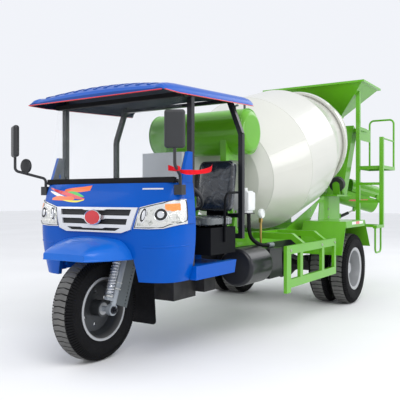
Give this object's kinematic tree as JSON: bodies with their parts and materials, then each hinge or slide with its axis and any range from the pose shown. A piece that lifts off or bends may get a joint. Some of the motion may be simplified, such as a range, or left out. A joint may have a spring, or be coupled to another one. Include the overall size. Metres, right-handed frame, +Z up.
{
  "type": "three-wheeled concrete mixer truck",
  "caption": "Three-wheeled truck with an open-sided cab, a tilted mixing drum on rollers, a feed hopper, a rear ladder and platform, and a swinging, folding discharge chute.",
  "frame": {"origin": "bottom centre of the whole truck's bounding box, on the ground", "axes": "-Y front, +Y rear, +X the truck's left side, +Z up"},
  "size_m": [1.884, 5.8308, 2.72],
  "materials": {
    "frame_grey": "silver grey paint",
    "blue_paint": "glossy blue paint",
    "chrome_trim": "bright chrome",
    "black_paint": "satin black paint",
    "black_plastic": "grained black plastic",
    "black_rubber": "black rubber",
    "clear_glass": "clear glass",
    "seat_vinyl": "black vinyl",
    "grey_panel": "grey paint",
    "clear_plastic": "milky plastic",
    "green_paint": "light green paint",
    "cast_steel": "dark painted steel",
    "silver_paint": "silver paint",
    "tyre_rubber": "tyre rubber",
    "drum_white": "cream white paint"
  },
  "bodies": {
    "chassis": {"cab_floor": "black_paint", "cab_nose": "blue_paint", "canopy": "blue_paint", "canopy_posts": "black_paint", "chassis_frame": "frame_grey", "collector": "green_paint", "dashboard": "black_plastic", "drum_drive": "grey_panel", "engine": "grey_panel", "front_mudflap": "black_rubber", "front_mudguard": "blue_paint", "front_pedestal": "green_paint", "grille": "chrome_trim", "headlamps": "chrome_trim", "hopper": "green_paint", "ladder": "green_paint", "leaf_springs": "cast_steel", "mirrors": "black_plastic", "oil_bottle": "clear_plastic", "platform": "green_paint", "rear_axle": "cast_steel", "rear_cabinet": "grey_panel", "rear_mudguards": "green_paint", "rear_pedestal": "green_paint", "seat_back": "seat_vinyl", "seat_base": "black_paint", "seat_cushion": "seat_vinyl", "side_box": "black_paint", "side_guards": "green_paint", "side_tank": "black_paint", "steering_wheel": "black_plastic", "subframe": "green_paint", "water_tank": "green_paint", "windscreen_frame": "black_rubber", "windscreen_glass": "clear_glass"},
    "fork": {"fork": "frame_grey", "fork_guards": "silver_paint"},
    "front_wheel": {"front_rim": "silver_paint", "front_tyre": "tyre_rubber"},
    "rear_wheels_left": {"rear_rims_left": "silver_paint", "rear_tyres_left": "tyre_rubber"},
    "rear_wheels_right": {"rear_rims_right": "silver_paint", "rear_tyres_right": "tyre_rubber"},
    "drum": {"drum_shell": "drum_white"},
    "left_roller": {"roller_left": "cast_steel"},
    "right_roller": {"roller_right": "cast_steel"},
    "turret": {"chute_turret": "green_paint"},
    "main_chute": {"chute": "green_paint"},
    "folding_chute": {"chute_extension": "green_paint"},
    "jack_tube": {"jack_barrel": "cast_steel"},
    "jack_piston": {"jack_rod": "cast_steel"}
  },
  "joints": [
    {"name": "steering", "type": "hinge", "parent": "chassis", "child": "fork", "pos_m": [0, -2.47902, 0.35948], "axis": [0, 0.342, 0.9397], "range_deg": [-40, 40]},
    {"name": "front_wheel_spin", "type": "hinge", "parent": "fork", "child": "front_wheel", "pos_m": [0, -2.53541, 0.38], "axis": [1, 0, 0], "continuous": true},
    {"name": "rear_wheels_left_spin", "type": "hinge", "parent": "chassis", "child": "rear_wheels_left", "pos_m": [0.815, 0.73459, 0.394], "axis": [1, 0, 0], "continuous": true},
    {"name": "rear_wheels_right_spin", "type": "hinge", "parent": "chassis", "child": "rear_wheels_right", "pos_m": [-0.815, 0.73459, 0.394], "axis": [1, 0, 0], "continuous": true},
    {"name": "drum_spin", "type": "hinge", "parent": "chassis", "child": "drum", "pos_m": [0, 0.25059, 1.654], "axis": [0, 0.9664, 0.2571], "continuous": true},
    {"name": "left_roller_spin", "type": "hinge", "parent": "chassis", "child": "left_roller", "pos_m": [0.47245, 1.36175, 1.36702], "axis": [0, 0.9664, 0.2571], "continuous": true},
    {"name": "right_roller_spin", "type": "hinge", "parent": "chassis", "child": "right_roller", "pos_m": [-0.47245, 1.36175, 1.36702], "axis": [0, 0.9664, 0.2571], "continuous": true},
    {"name": "chute_swivel", "type": "hinge", "parent": "chassis", "child": "turret", "pos_m": [0, 2.24459, 0.95], "axis": [0, 0, 1], "range_deg": [0, 130]},
    {"name": "chute_tilt", "type": "hinge", "parent": "turret", "child": "main_chute", "pos_m": [0, 2.24459, 1.075], "axis": [-0.7071, 0.7071, 0], "range_deg": [-5, 15]},
    {"name": "chute_fold", "type": "hinge", "parent": "main_chute", "child": "folding_chute", "pos_m": [0.53045, 2.77505, 1.17008], "axis": [-0.7071, 0.7071, 0], "range_deg": [0, 180]},
    {"name": "jack_swing", "type": "hinge", "parent": "turret", "child": "jack_tube", "pos_m": [0.13435, 2.37894, 0.915], "axis": [-0.7071, 0.7071, 0], "range_deg": [-12, 26]},
    {"name": "jack_slide", "type": "slide", "parent": "jack_tube", "child": "jack_piston", "axis": [0.6533, 0.6533, 0.3827], "range_m": [-0.06, 0.03]}
  ],
  "couplings": [
    {"joint": "jack_swing", "follows": "chute_tilt", "ratio": 1.55},
    {"joint": "jack_slide", "follows": "chute_tilt", "m_per_rad": -0.2}
  ]
}
